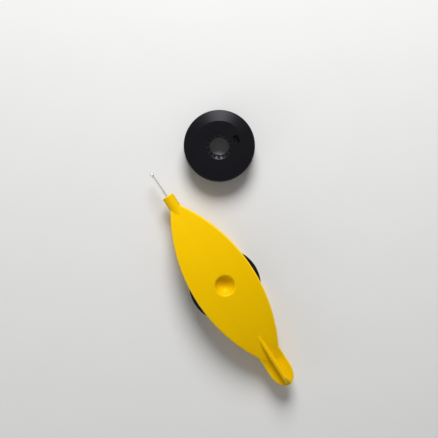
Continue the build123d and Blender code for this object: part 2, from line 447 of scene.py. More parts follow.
class NodeSheet:
    """A node tree that is filled node by node."""

    def __init__(self, tree: bpy.types.NodeTree) -> None:
        """Starts on an empty tree."""
        self.tree = tree
        self.tree.nodes.clear()
        self.count = 0

    def add(self, kind: str, settings: dict | None = None, **inputs: object) -> bpy.types.Node:
        """Adds a node.

        Args:
            kind: The node's type.
            settings: Its own settings.
            inputs: What its sockets get: a value, or another node's output to link. An underscore
                in a name stands for a space.

        Returns:
            The node.
        """
        node = self.tree.nodes.new(kind)
        row, column = divmod(self.count, SHEET_COLUMNS)
        node.location = (column * SHEET_COLUMN_WIDTH, -row * SHEET_ROW_HEIGHT)
        self.count += 1
        for name, value in (settings or {}).items():
            setattr(node, name, value)
        for name, value in inputs.items():
            self.feed(node, name.replace("_", " "), value)
        return node

    def feed(self, node: bpy.types.Node, name: str | int, value: object) -> None:
        """Sets a socket to a value, or links an output to it.

        Args:
            node: The node whose socket it is.
            name: The socket's name or number.
            value: A value, or an output socket.
        """
        socket = node.inputs[name]
        if isinstance(value, bpy.types.NodeSocket):
            self.tree.links.new(value, socket)
        else:
            socket.default_value = value

    def sum(self, operation: str, first: object, second: object, third: object = 0.0) -> bpy.types.NodeSocket:
        """Adds a Math node.

        Args:
            operation: What it does.
            first: Its first value.
            second: Its second value.
            third: Its third value, for a multiply-add.

        Returns:
            Its output.
        """
        node = self.add("ShaderNodeMath", {"operation": operation})
        for number, value in enumerate((first, second, third)):
            self.feed(node, number, value)
        return node.outputs[0]

    def noise(
        self, vector: object, scale: object, detail: float, roughness: float, distortion: float = 0.0
    ) -> bpy.types.NodeSocket:
        """Adds a Noise Texture.

        Args:
            vector: Where it is read.
            scale: How fine it is.
            detail: How many finer layers it has.
            roughness: How strong those layers are.
            distortion: How far it is warped.

        Returns:
            Its value, from 0 to 1.
        """
        node = self.add(
            "ShaderNodeTexNoise",
            Vector=vector,
            Scale=scale,
            Detail=detail,
            Roughness=roughness,
            Distortion=distortion,
        )
        return node.outputs[0]

    def blend(self, mask: object, first: object, second: object) -> bpy.types.NodeSocket:
        """Mixes two colours by a mask.

        Args:
            mask: 0 for the first colour, 1 for the second.
            first: A colour or an output.
            second: A colour or an output.

        Returns:
            The mixed colour.
        """
        node = self.add("ShaderNodeMix", {"data_type": "RGBA"})
        for number, value in ((0, mask), (6, first), (7, second)):
            self.feed(node, number, value)
        return node.outputs[2]


def shared_group(
    name: str, inputs: dict[str, object], outputs: dict[str, str]
) -> tuple[NodeSheet, bpy.types.Node, bpy.types.Node]:
    """Makes an empty shader node group.

    Args:
        name: The group's name.
        inputs: Each input's name, with its first value, or None for a vector.
        outputs: Each output's name, with its socket type.

    Returns:
        The group's sheet, its input node and its output node.
    """
    group = bpy.data.node_groups.new(name, "ShaderNodeTree")
    for label, value in inputs.items():
        kind = "NodeSocketVector" if value is None else "NodeSocketFloat"
        socket = group.interface.new_socket(label, in_out="INPUT", socket_type=kind)
        if value is not None:
            socket.default_value = value
    for label, kind in outputs.items():
        group.interface.new_socket(label, in_out="OUTPUT", socket_type=kind)
    sheet = NodeSheet(group)
    return sheet, sheet.add("NodeGroupInput"), sheet.add("NodeGroupOutput")


def moulded_skin() -> bpy.types.NodeTree:
    """Builds the group for the skin that a polished mould leaves on plastic, once.

    Returns:
        The group: a fine height, and soft patches where the skin is duller.
    """
    name = "moulded_skin"
    if name in bpy.data.node_groups:
        return bpy.data.node_groups[name]
    sheet, given, result = shared_group(
        name,
        {"Vector": None, "Grain Scale": 1500.0, "Patch Scale": 120.0},
        {"Height": "NodeSocketFloat", "Patches": "NodeSocketFloat"},
    )
    spot = given.outputs["Vector"]
    peel = sheet.noise(spot, given.outputs["Grain Scale"], detail=2.0, roughness=0.55)
    finer = sheet.sum("MULTIPLY", given.outputs["Grain Scale"], 5.0)
    pits = sheet.noise(spot, finer, detail=1.0, roughness=0.5)
    sheet.feed(result, "Height", sheet.sum("MULTIPLY_ADD", pits, 0.35, peel))
    broad = given.outputs["Patch Scale"]
    sheet.feed(result, "Patches", sheet.noise(spot, broad, detail=3.0, roughness=0.6, distortion=0.4))
    return sheet.tree


def rubbed_edges() -> bpy.types.NodeTree:
    """Builds the group for the painted highlight along rounded edges, once.

    Returns:
        The group: a mask that is strongest on rounded edges and broken up along them.
    """
    name = "rubbed_edges"
    if name in bpy.data.node_groups:
        return bpy.data.node_groups[name]
    sheet, given, result = shared_group(
        name, {"Vector": None, "Break Up": 900.0, "Amount": 1.0}, {"Mask": "NodeSocketFloat"}
    )
    # the rounded-edge attribute, broken up by noise, is the mask for a painted highlight
    edge = sheet.add("ShaderNodeAttribute", {"attribute_name": HIGHLIT_EDGE})
    noise = sheet.noise(given.outputs["Vector"], given.outputs["Break Up"], detail=3.0, roughness=0.6)
    broken = sheet.sum("MULTIPLY_ADD", noise, 0.9, 0.45)
    mask = sheet.sum("MULTIPLY", edge.outputs["Fac"], broken)
    amount = sheet.sum("MULTIPLY", mask, given.outputs["Amount"])
    sheet.feed(result, "Mask", amount)
    return sheet.tree


def fine_streaks() -> bpy.types.NodeTree:
    """Builds the group for streaks along a piece, such as flow marks or drawing lines, once.

    Returns:
        The group: a broad and a fine streak, both from 0 to 1. Its vector is already stretched.
    """
    name = "fine_streaks"
    if name in bpy.data.node_groups:
        return bpy.data.node_groups[name]
    sheet, given, result = shared_group(
        name, {"Vector": None, "Scale": 1.0}, {"Broad": "NodeSocketFloat", "Fine": "NodeSocketFloat"}
    )
    spot, scale = given.outputs["Vector"], given.outputs["Scale"]
    sheet.feed(result, "Broad", sheet.noise(spot, scale, detail=2.0, roughness=0.5))
    finer = sheet.sum("MULTIPLY", scale, 6.0)
    sheet.feed(result, "Fine", sheet.noise(spot, finer, detail=2.0, roughness=0.6))
    return sheet.tree


@dataclass(frozen=True)
class Finish:
    """A material: its name, and the group calls that its kinds share."""

    name: str = "finish"

    def started(self) -> tuple[NodeSheet, bpy.types.Node, bpy.types.Node, bpy.types.Material]:
        """Starts the material.

        Returns:
            Its sheet, its shader, its coordinates and the material.
        """
        material = bpy.data.materials.new(self.name)
        material.use_nodes = True
        sheet = NodeSheet(material.node_tree)
        place = sheet.add("ShaderNodeTexCoord")
        shader = sheet.add("ShaderNodeBsdfPrincipled")
        result = sheet.add("ShaderNodeOutputMaterial")
        sheet.feed(result, "Surface", shader.outputs[0])
        return sheet, shader, place, material

    @staticmethod
    def relief(
        sheet: NodeSheet, shader: bpy.types.Node, height: object, strength: float, distance: float
    ) -> None:
        """Gives the surface a fine relief.

        Args:
            sheet: The material's sheet.
            shader: Its shader.
            height: The relief's height, from 0 to 1.
            strength: How strongly it acts.
            distance: How high it is, in metres.
        """
        bump = sheet.add("ShaderNodeBump", Strength=strength, Distance=distance, Height=height)
        sheet.feed(shader, "Normal", bump.outputs[0])

    @staticmethod
    def group(sheet: NodeSheet, tree: bpy.types.NodeTree, **inputs: object) -> bpy.types.Node:
        """Places a shared group in a material with its own values."""
        node = sheet.add("ShaderNodeGroup", {"node_tree": tree})
        for label, value in inputs.items():
            sheet.feed(node, label.replace("_", " "), value)
        return node


@dataclass(frozen=True)
class ShellPlastic(Finish):
    """Deep yellow moulded plastic with a satin gloss."""

    name: str = "shell_plastic"
    colour: tuple = (0.86, 0.525, 0.0, 1)
    deeper: tuple = (0.80, 0.475, 0.0, 1)
    # lighter yellow for the painted highlight along rounded edges
    edge_highlight: tuple = (0.95, 0.64, 0.01, 1)
    roughness: float = 0.36
    roughness_spread: float = 0.14

    def made(self) -> bpy.types.Material:
        """Builds the material."""
        sheet, shader, place, material = self.started()
        spot = place.outputs["Object"]
        skin = self.group(sheet, moulded_skin(), Vector=spot, Grain_Scale=1300.0, Patch_Scale=95.0)
        along = sheet.add("ShaderNodeMapping", Vector=spot, Scale=(30.0, 210.0, 210.0))
        flow = self.group(sheet, fine_streaks(), Vector=along.outputs[0], Scale=1.0)
        edges = self.group(sheet, rubbed_edges(), Vector=spot, Break_Up=700.0, Amount=0.55)
        tone = sheet.sum("MULTIPLY_ADD", flow.outputs["Broad"], 0.9, -0.05)
        body = sheet.blend(tone, self.colour, self.deeper)
        # rounded edges are blended to the lighter yellow: a painted highlight
        sheet.feed(shader, "Base Color", sheet.blend(edges.outputs["Mask"], body, self.edge_highlight))
        dull = sheet.sum("MULTIPLY_ADD", skin.outputs["Patches"], self.roughness_spread, self.roughness)
        sheet.feed(shader, "Roughness", dull)
        self.relief(sheet, shader, skin.outputs["Height"], strength=0.35, distance=0.00002)
        sheet.feed(shader, "Specular IOR Level", 0.35)
        sheet.feed(shader, "Specular Tint", (1.0, 0.8, 0.1, 1))
        return material


@dataclass(frozen=True)
class BobbinPlastic(Finish):
    """Black moulded plastic, satin, with faint turning rings left by the mould."""

    name: str = "bobbin_plastic"
    middle: Point = (0.0, 0.0, 0.0)
    colour: tuple = (0.0011, 0.0011, 0.002, 1)
    greyer: tuple = (0.0024, 0.0024, 0.004, 1)
    # grey for the painted highlight along rounded edges
    edge_highlight: tuple = (0.03, 0.03, 0.036, 1)
    roughness: float = 0.21
    roughness_spread: float = 0.08

    def made(self) -> bpy.types.Material:
        """Builds the material, its rings about the bobbin's own axis."""
        sheet, shader, place, material = self.started()
        back = tuple(-value for value in self.middle)
        centred = sheet.add("ShaderNodeMapping", Vector=place.outputs["Object"], Location=back)
        spot = centred.outputs[0]
        skin = self.group(sheet, moulded_skin(), Vector=spot, Grain_Scale=1700.0, Patch_Scale=160.0)
        edges = self.group(sheet, rubbed_edges(), Vector=spot, Break_Up=800.0, Amount=0.7)
        rings = sheet.add(
            "ShaderNodeTexWave", {"wave_type": "RINGS", "rings_direction": "Z"},
            Vector=spot, Scale=900.0, Distortion=0.6, Detail=2.0, Detail_Scale=1.5,
        )
        tone = sheet.sum("MULTIPLY_ADD", skin.outputs["Patches"], 1.3, -0.15)
        body = sheet.blend(tone, self.colour, self.greyer)
        # rounded edges are blended to the grey: a painted highlight
        sheet.feed(shader, "Base Color", sheet.blend(edges.outputs["Mask"], body, self.edge_highlight))
        dull = sheet.sum("MULTIPLY_ADD", skin.outputs["Patches"], self.roughness_spread, self.roughness)
        sheet.feed(shader, "Roughness", dull)
        height = sheet.sum("MULTIPLY_ADD", rings.outputs["Fac"], 0.3, skin.outputs["Height"])
        self.relief(sheet, shader, height, strength=0.3, distance=0.00002)
        sheet.feed(shader, "Specular IOR Level", 0.145)
        sheet.feed(shader, "Specular Tint", (0.92, 0.9, 1.0, 1))
        return material


@dataclass(frozen=True)
class PlatedSteel(Finish):
    """Nickel-plated steel wire with drawing lines along it."""

    name: str = "plated_steel"
    colour: tuple = (0.64, 0.63, 0.605, 1)
    darker: tuple = (0.46, 0.45, 0.43, 1)
    roughness: float = 0.2
    roughness_spread: float = 0.16

    def made(self) -> bpy.types.Material:
        """Builds the material."""
        sheet, shader, place, material = self.started()
        spot = place.outputs["Object"]
        along = sheet.add("ShaderNodeMapping", Vector=spot, Scale=(150.0, 3200.0, 3200.0))
        lines = self.group(sheet, fine_streaks(), Vector=along.outputs[0], Scale=1.0)
        skin = self.group(sheet, moulded_skin(), Vector=spot, Grain_Scale=2500.0, Patch_Scale=260.0)
        edges = self.group(sheet, rubbed_edges(), Vector=spot, Break_Up=1500.0, Amount=0.5)
        tone = sheet.sum("MULTIPLY", lines.outputs["Broad"], skin.outputs["Patches"])
        body = sheet.blend(tone, self.colour, self.darker)
        # rounded edges go back to the lighter plain colour: a painted highlight over the darker lines
        sheet.feed(shader, "Base Color", sheet.blend(edges.outputs["Mask"], body, self.colour))
        dull = sheet.sum("MULTIPLY_ADD", lines.outputs["Fine"], self.roughness_spread, self.roughness)
        sheet.feed(shader, "Roughness", dull)
        self.relief(sheet, shader, lines.outputs["Fine"], strength=0.25, distance=0.00001)
        sheet.feed(shader, "Metallic", 1.0)
        return material


@dataclass(frozen=True)
class PaleFloor(Finish):
    """The plain pale floor that the set lies on."""

    name: str = "pale_floor"
    colour: tuple = (0.78, 0.78, 0.775, 1)
    shade: tuple = (0.76, 0.76, 0.755, 1)

    def made(self) -> bpy.types.Material:
        """Builds the material."""
        sheet, shader, place, material = self.started()
        mottle = sheet.noise(place.outputs["Object"], 40.0, detail=2.0, roughness=0.5)
        sheet.feed(shader, "Base Color", sheet.blend(mottle, self.colour, self.shade))
        sheet.feed(shader, "Roughness", 0.8)
        sheet.feed(shader, "Specular IOR Level", 0.2)
        return material


def dress(piece: Piece, material: bpy.types.Material, body: str, node: str) -> None:
    """Gives a finished piece its material and its part in the frame.

    Args:
        piece: The piece, in its place.
        material: Its material.
        body: The body that it rides on.
        node: The node that it stands for.
    """
    piece.data.materials.clear()
    piece.data.materials.append(material)
    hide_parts(node)
    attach(piece, body)
    log.info("%s: %d faces, rides on %s", piece.name, len(piece.data.polygons), body)


# Shuttle


@dataclass
class ShuttleShell:
    """The two yellow halves: bowed blades with hollow posts, a nose boss, a tail paddle and fins.

    Sizes are in millimetres about the bobbin's axis and the shuttle's middle plane.
    """

    place: Point = SHUTTLE_MIDDLE
    blade_length: float = 66.6
    blade_width: float = 21.6
    blade_wall: float = 1.4
    blade_forward: float = 0.25
    point_cut: float = 0.9
    outer_crown: float = 5.85
    point_height: float = 0.45
    rim_round: float = 0.5
    inner_rim_round: float = 0.12
    stations: int = 108
    rows: int = 8
    post_radius: float = 3.12
    post_reach: float = 2.3
    post_round: float = 0.6
    post_neck: float = 0.3
    post_floor_ring: float = 1.2
    dimple_radius: float = 3.25
    dimple_depth: float = 2.6
    dimple_round: float = 0.8
    nose_radius: float = 2.05
    nose_start: float = 24.9
    nose_end: float = 35.5
    nose_round: float = 0.35
    nose_shown: float = 4.0
    wire_aside: float = 0.5
    wire_room: float = 0.51
    wire_start: float = 28.27
    wire_mouth: float = 0.16
    crimp_middle: float = 30.3
    crimp_size: Point = (1.66, 1.56, 0.56)
    tail_end: float = -40.0
    paddle_half_width: float = 3.9
    paddle_half_thickness: float = 1.1
    paddle_end_length: float = 6.2
    paddle_root: float = -26.7
    paddle_round: float = 0.45
    ramp_sink: float = 0.08
    ramp_round: float = 12.0
    fin_height: float = 3.85
    fin_foot: float = 2.1
    fin_top: float = 1.3
    fin_end_length: float = 3.4
    fin_front: float = -17.8
    fin_round: float = 0.6
    fin_end: float = -39.5
    seam_round: float = 0.07
    overlap: float = 0.6
    peg_radius: float = 0.6
    peg_length: float = 1.1
    peg_gap: float = 0.03
    peg_chamfer: float = 0.15
    peg_root: float = 0.2
    peg_places: tuple[float, ...] = (-35.4, -30.8, 26.9)
    finish: ShellPlastic = field(default_factory=ShellPlastic)

    @property
    def bow_radius(self) -> float:
        """Radius of the blade's outer face along its length."""
        bow = self.outer_crown - self.point_height
        return ((self.blade_length / 2) ** 2 + bow**2) / (2 * bow)

    @property
    def oval_radius(self) -> float:
        """Radius of each side of the blade's outline."""
        return ((self.blade_length / 2) ** 2 + (self.blade_width / 2) ** 2) / self.blade_width

    def half_width_at(self, along: float) -> float:
        """Half the blade's width at a distance from the oval's middle."""
        return sqrt(self.oval_radius**2 - along**2) - self.oval_radius + self.blade_width / 2

    def height_at(self, along: float, wall: float) -> float:
        """Height of a bowed face, a wall below the outer one, at a distance from the oval's middle."""
        return self.outer_crown - self.bow_radius + sqrt((self.bow_radius - wall) ** 2 - along**2)

    def blade(self) -> Piece:
        """Shapes a plate, station by station, into the bowed and pointed blade.

        Returns:
            The blade, with its rims rounded.
        """
        clear_selection()
        bpy.ops.mesh.primitive_grid_add(x_subdivisions=self.stations, y_subdivisions=1, size=2)
        blade = fresh("blade")
        reach = self.blade_length / 2 - self.point_cut
        places = sorted({round(point.co.x, 6) for point in blade.data.vertices})
        with editing(blade, Kind.FACES):
            bpy.ops.mesh.extrude_region_move(TRANSFORM_OT_translate={"value": (0, 0, -1)})
            close_up()
            bpy.ops.transform.resize(value=(reach, 1, 1), center_override=(0, 0, 0))
            for place in places:
                along = place * reach
                width = self.half_width_at(along)
                for level, wall in ((0.0, 0.0), (-1.0, self.blade_wall)):
                    pick(
                        blade,
                        Kind.POINTS,
                        lambda point: abs(point.co.x - along) < NEAR and abs(point.co.z - level) < TINY,
                    )
                    rise = self.height_at(along, wall) - level
                    bpy.ops.transform.resize(value=(1, width, 1), center_override=(along, 0, level))
                    bpy.ops.transform.translate(value=(0, 0, rise))
            outer_rim = (0.0, self.rim_round, 5)
            inner_rim = (self.blade_wall, self.inner_rim_round, 2)
            for wall, width, segments in (outer_rim, inner_rim):
                pick(blade, Kind.EDGES, lambda edge: self.on_rim(edge, wall))
                soften(width, segments)
            pick(blade, Kind.EDGES, self.across)
            bpy.ops.mesh.subdivide(number_cuts=self.rows - 1)
            bpy.ops.mesh.select_all(action="SELECT")
            bpy.ops.transform.translate(value=(self.blade_forward, 0, 0))
        return blade

    def across(self, edge: bmesh.types.BMEdge) -> bool:
        """Whether an edge of the blade runs from one side to the other."""
        first, second = (point.co for point in edge.verts)
        return abs(first.x - second.x) < NEAR and first.y * second.y < 0

    def on_rim(self, edge: bmesh.types.BMEdge, wall: float) -> bool:
        """Whether an edge of the blade, not yet moved forward, runs along one rim of a bowed face."""
        first, second = (point.co for point in edge.verts)
        if first.y * second.y <= 0 or abs(first.x - second.x) < TINY:
            return False
        return all(
            abs(abs(end.y) - self.half_width_at(end.x)) < NEAR
            and abs(end.z - self.height_at(end.x, wall)) < NEAR
            for end in (first, second)
        )

    def bowl_rings(self) -> list[FlatPoint]:
        """Radius and depth of each ring of the dimple, from its rim's outer edge to its bottom.

        Returns:
            The rings, the first level with the blade's face.
        """
        ball = (self.dimple_radius**2 + self.dimple_depth**2) / (2 * self.dimple_depth)
        above = ball - self.dimple_depth
        lip = sqrt((ball + self.dimple_round) ** 2 - (above + self.dimple_round) ** 2)
        meeting = atan2(above + self.dimple_round, -lip)
        rim = arc((lip, -self.dimple_round), self.dimple_round, 90, meeting * 180 / pi, 10)
        steep = acos(min(1.0, (above - rim[-1][1]) / ball))
        bowl = [
            (ball * sin(steep * (1 - step / 14)), above - ball * cos(steep * (1 - step / 14)))
            for step in range(1, 14)
        ]
        return rim + bowl

    def dent(self, blade: Piece, rings: Sequence[FlatPoint], from_height: float) -> None:
        """Draws an open edge of the blade in or out, ring by ring, and closes its end.

        Args:
            blade: The blade, in edit mode, with the open edge selected.
            rings: Radius and height of each ring, the first where the open edge is.
            from_height: Height of the first ring.
        """
        for before, after in zip(rings, rings[1:]):
            ratio = after[0] / before[0]
            bpy.ops.mesh.extrude_region_move(TRANSFORM_OT_translate={"value": (0, 0, 0)})
            bpy.ops.transform.resize(
                value=(ratio, ratio, ratio**2), center_override=(0, 0, from_height + before[1])
            )
            bpy.ops.transform.translate(value=(0, 0, after[1] - before[1]))
        bpy.ops.mesh.merge(type="CENTER")

    def hollow_post(self, blade: Piece) -> None:
        """Opens the blade at the bobbin's axis and draws the hole into a dimple and a post round it."""
        rings = self.bowl_rings()
        lip = rings[0][0]
        clear_selection()
        bpy.ops.mesh.primitive_cylinder_add(
            vertices=96, radius=lip, depth=4 * self.blade_wall, location=(0, 0, self.outer_crown)
        )
        combine(blade, fresh("hole"), Cut.REMOVE)
        near, steep = 0.02, 0.2
        inner_crown = self.outer_crown - self.blade_wall
        middle = inner_crown + self.blade_wall / 2
        turn = (self.post_radius - self.post_round, self.post_round - self.post_reach)
        post = [
            (lip, 0.0),
            (self.post_radius, 0.0),
            (self.post_radius, -self.post_neck),
            *arc(turn, self.post_round, 0, -90, 6),
            (self.post_floor_ring, -self.post_reach),
        ]
        with editing(blade, Kind.FACES):
            pick(
                blade,
                Kind.FACES,
                lambda face: hypot(*face.calc_center_median().xy) < lip + near and abs(face.normal.z) < steep,
            )
            bpy.ops.mesh.delete(type="FACE")
            for points, height, above in ((rings, self.outer_crown, True), (post, inner_crown, False)):
                pick(
                    blade,
                    Kind.EDGES,
                    lambda edge: edge.is_boundary
                    and all(
                        abs(hypot(*end.co.xy) - lip) < near and (end.co.z > middle) == above
                        for end in edge.verts
                    ),
                )
                self.dent(blade, points, height)
            close_up()

    def nose_boss(self) -> Piece:
        """Spins the round boss, with its end rounded."""
        turn = self.nose_radius - self.nose_round
        line = [
            (self.nose_start, 0.0),
            *arc((self.nose_start + self.nose_round, turn), self.nose_round, 180, 90, 5),
            (self.nose_end - self.nose_shown, self.nose_radius),
            *arc((self.nose_end - self.nose_round, turn), self.nose_round, 90, 0, 5),
            (self.nose_end, 0.0),
        ]
        return turned("nose_boss", line, (1, 0, 0), 72)

    def tail_outline(self, tip: float, root: float, end_length: float, reach: float) -> list[FlatPoint]:
        """An outline from a root to a tip, with half an oval for its end.

        Args:
            tip: Where the outline ends, along the shuttle.
            root: Where it starts.
            end_length: Length of the half oval.
            reach: How far the outline reaches each way.

        Returns:
            The outline's points.
        """
        middle = tip + end_length
        turn = [radians(90 + 180 * step / 32) for step in range(33)]
        end = [(middle + end_length * cos(angle), reach * sin(angle)) for angle in turn]
        return [(root, reach), *end, (root, -reach)]

    def paddle_plan(self) -> list[FlatPoint]:
        """The paddle's outline from above."""
        return self.tail_outline(
            self.tail_end, self.paddle_root, self.paddle_end_length, self.paddle_half_width
        )

    def paddle_profile(self) -> list[FlatPoint]:
        """The paddle from the side: flat, then rising in a curve to just below the blade's face."""
        flat, radius = self.paddle_half_thickness, self.bow_radius - self.ramp_sink
        axis = self.outer_crown - self.bow_radius
        bend = (
            self.blade_forward - sqrt((radius + self.ramp_round) ** 2 - (flat + self.ramp_round - axis) ** 2),
            flat + self.ramp_round,
        )
        leaves = atan2(axis - bend[1], self.blade_forward - bend[0]) * 180 / pi
        start = self.blade_forward + radius * cos(radians(leaves + 180))
        rise = [start + (self.paddle_root - start) * step / 10 for step in range(1, 11)]
        return [
            (self.paddle_root, -self.overlap),
            (self.tail_end - OVERRUN, -self.overlap),
            (self.tail_end - OVERRUN, flat),
            *arc(bend, self.ramp_round, -90, leaves, 6),
            *((along, axis + sqrt(radius**2 - (along - self.blade_forward) ** 2)) for along in rise),
        ]

    def paddle(self) -> Piece:
        """The paddle's upper half, with the edge of its top rounded."""
        plan = [(along, aside, -self.overlap) for along, aside in self.paddle_plan()]
        paddle = drawn("paddle", plan, Line.FACE)
        thicken(paddle, (0, 0, self.outer_crown))
        width = self.paddle_half_width + OVERRUN
        slab = drawn("slab", [(along, -width, height) for along, height in self.paddle_profile()], Line.FACE)
        thicken(slab, (0, 2 * width, 0))
        combine(paddle, slab, Cut.SHARE)
        with editing(paddle, Kind.EDGES):
            pick(paddle, Kind.EDGES, self.on_paddle_rim)
            soften(self.paddle_round, 5)
        return paddle

    def on_paddle_rim(self, edge: bmesh.types.BMEdge) -> bool:
        """Whether an edge runs along the outline of the paddle's top."""
        first, second = (point.co for point in edge.verts)
        if len(edge.link_faces) != 2 or (first.x + second.x) / 2 > self.paddle_root - TINY:
            return False
        upright, level = sorted(abs(face.normal.z) for face in edge.link_faces)
        return upright < 0.1 and level > 0.9 and min(first.z, second.z) > 0

    def fin(self) -> Piece:
        """The drafted fin with a rounded back, trimmed to the blade's inner face."""
        outline = self.tail_outline(self.fin_end, self.fin_front, self.fin_end_length, self.fin_height)
        half = self.fin_foot / 2
        fin = drawn("fin", [(along, -half, height) for along, height in outline], Line.FACE)
        thicken(fin, (0, self.fin_foot, 0))
        with editing(fin, Kind.FACES):
            cut_below(-self.overlap)
            heights = sorted({round(point.co.z, 4) for point in bmesh.from_edit_mesh(fin.data).verts})
            for height in heights:
                draft = 1 - (1 - self.fin_top / self.fin_foot) * max(height, 0.0) / self.fin_height
                pick(fin, Kind.POINTS, lambda point: abs(point.co.z - height) < 2 * TINY)
                bpy.ops.transform.resize(value=(1, draft, 1), center_override=(0, 0, height))
            pick(fin, Kind.EDGES, self.on_fin_ridge)
            soften(self.fin_round, 5)
        clear_selection()
        bpy.ops.mesh.primitive_cylinder_add(
            vertices=720,
            radius=self.bow_radius - self.blade_wall,
            depth=4 * self.fin_foot,
            location=(self.blade_forward, 0, self.outer_crown - self.bow_radius),
            rotation=(pi / 2, 0, 0),
        )
        combine(fin, fresh("gap"), Cut.REMOVE)
        return fin

    def on_fin_ridge(self, edge: bmesh.types.BMEdge) -> bool:
        """Whether an edge runs along one side of the fin's back or end."""
        first, second = (point.co for point in edge.verts)
        if first.y * second.y <= 0 or min(first.z, second.z) < -TINY - self.overlap:
            return False
        if abs(first.z - second.z) < TINY and first.z < 0:
            return False
        return (first.x + second.x) / 2 < self.fin_front - TINY

    def on_seam(self, edge: bmesh.types.BMEdge) -> bool:
        """Whether an edge is part of the parting line that shows on the nose or the tail."""
        first, second = (point.co for point in edge.verts)
        if max(abs(first.z), abs(second.z)) > TINY or len(edge.link_faces) != 2:
            return False
        if max(abs(face.normal.z) for face in edge.link_faces) < 0.99:
            return False
        near_side, near_end = 0.03, 0.45
        middle = (first + second) / 2
        on_boss = middle.x > self.nose_start and abs(abs(middle.y) - self.nose_radius) < near_side
        if middle.x > self.tail_end + self.paddle_end_length:
            beside = abs(abs(middle.y) - self.paddle_half_width) < near_side
            on_tail = middle.x < self.paddle_root and beside
        else:
            outline = self.paddle_plan()
            on_tail = min(hypot(middle.x - along, middle.y - aside) for along, aside in outline) < near_end
        return on_boss or on_tail

    def wire_way(self) -> Piece:
        """The room for the hook's wire and its crimp, with a small chamfer at the mouth."""
        line = [
            (self.wire_start, 0.0),
            (self.wire_start, self.wire_room),
            (self.nose_end - self.wire_mouth, self.wire_room),
            (self.nose_end + self.wire_mouth, self.wire_room + 2 * self.wire_mouth),
            (self.nose_end + self.wire_mouth, 0.0),
        ]
        way = turned("wire_way", line, (1, 0, 0), 40)
        combine(way, box("crimp_room", self.crimp_size, (self.crimp_middle, 0, 0)), Cut.ADD)
        shift(way, (0, self.wire_aside, 0))
        return way

    def peg(self, along: float, spare: float) -> Piece:
        """A peg below the middle plane, or the room for one.

        Args:
            along: Where it stands.
            spare: How much larger it is all round.

        Returns:
            The peg.
        """
        radius, low, slant = self.peg_radius + spare, -self.peg_length - spare, self.peg_chamfer
        line = [
            (0.0, self.peg_root),
            (radius, self.peg_root),
            (radius, low + slant),
            (radius - slant, low),
            (0.0, low),
        ]
        peg = turned("peg", line, (0, 0, 1), 32)
        shift(peg, (along, 0, 0))
        return peg

    def half(self) -> Piece:
        """Joins the blade, the boss, the paddle and the fin into one half above the middle plane.

        Returns:
            The half, with its parting line softened.
        """
        half = self.blade()
        self.hollow_post(half)
        for part in (self.nose_boss(), self.paddle(), self.fin()):
            combine(half, part, Cut.ADD)
        combine(half, self.wire_way(), Cut.REMOVE)
        with editing(half, Kind.FACES):
            cut_below(0)
            close_up()
            pick(half, Kind.EDGES, self.on_seam)
            soften(self.seam_round, 2)
        return half

    def build(self) -> None:
        """Models both halves, places them and dresses them."""
        upper = self.half()
        upper.name = "upper_shell_moulding"
        lower = copied(upper, "lower_shell_moulding")
        turn_over(lower)
        for along in self.peg_places:
            combine(upper, self.peg(along, 0.0), Cut.ADD)
            combine(lower, self.peg(along, self.peg_gap), Cut.REMOVE)
        material = self.finish.made()
        for shell, node in ((upper, "upper_shell"), (lower, "lower_shell")):
            mark_rounded_edges(shell, least_turn=7.0, largest_face=0.2)
            settle(shell, 0.0, self.place)
            smooth(shell, crease=38.0)
            dress(shell, material, "shuttle", node)


